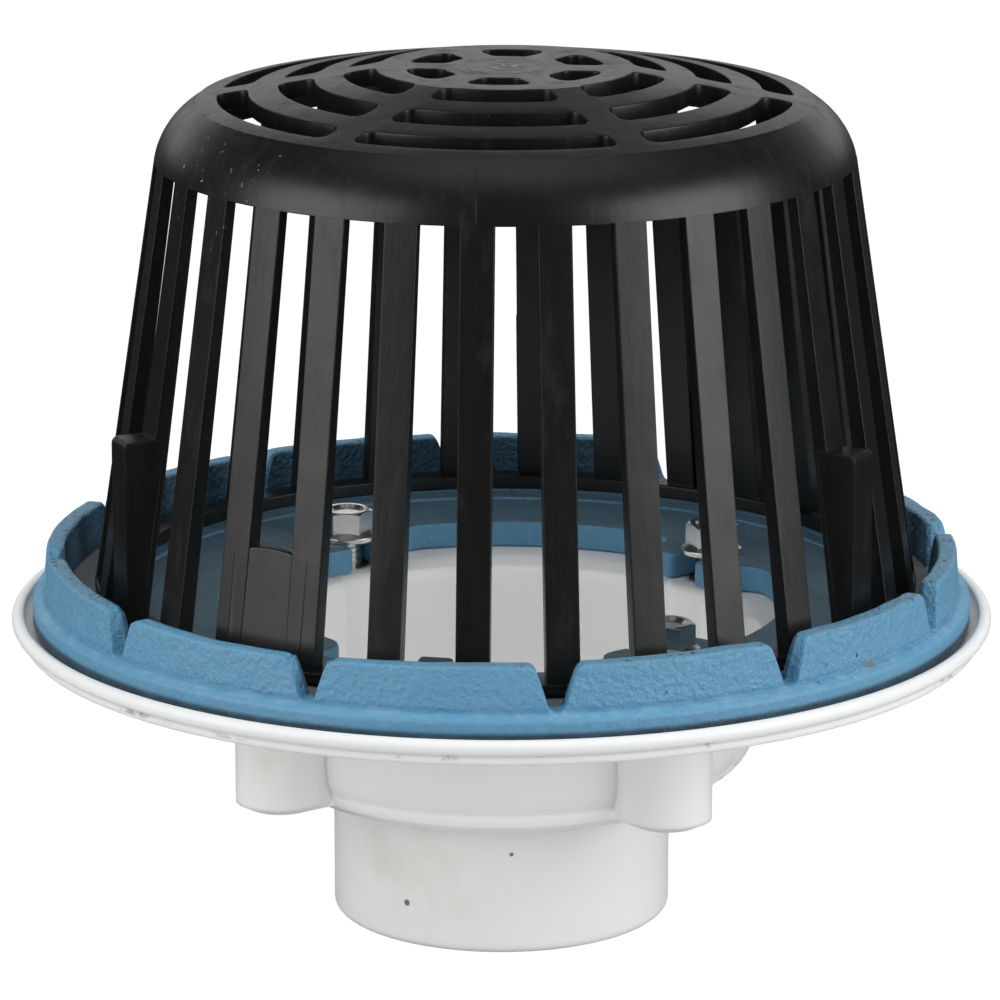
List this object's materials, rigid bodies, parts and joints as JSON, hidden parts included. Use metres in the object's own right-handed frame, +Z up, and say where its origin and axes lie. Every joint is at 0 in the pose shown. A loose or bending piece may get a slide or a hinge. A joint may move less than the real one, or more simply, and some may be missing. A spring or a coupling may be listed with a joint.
{
  "type": "flat roof drain",
  "caption": "Roof drain: plastic body with a flange, sump and outlet hub, a toothed cast clamping ring with gravel guard, flange bolts and a slotted dome strainer.",
  "frame": {"origin": "Centre of the outlet hub's lower end, on which the drain stands", "axes": "+Z up through the outlet, sump and dome; the pictured front faces -Y; +X to the right"},
  "size_m": [0.2979, 0.298, 0.261],
  "materials": {
    "white_pvc": "smooth moulded white PVC",
    "blue_paint": "light blue paint over sand-cast iron",
    "black_poly": "satin black polyethylene",
    "zinc_plate": "bright zinc plating",
    "brass": "machined brass"
  },
  "bodies": {
    "root": {"drain_body": "white_pvc", "clamping_ring": "blue_paint", "dome_strainer": "black_poly", "clamp_bolts": "zinc_plate", "threaded_inserts": "brass"}
  },
  "joints": []
}
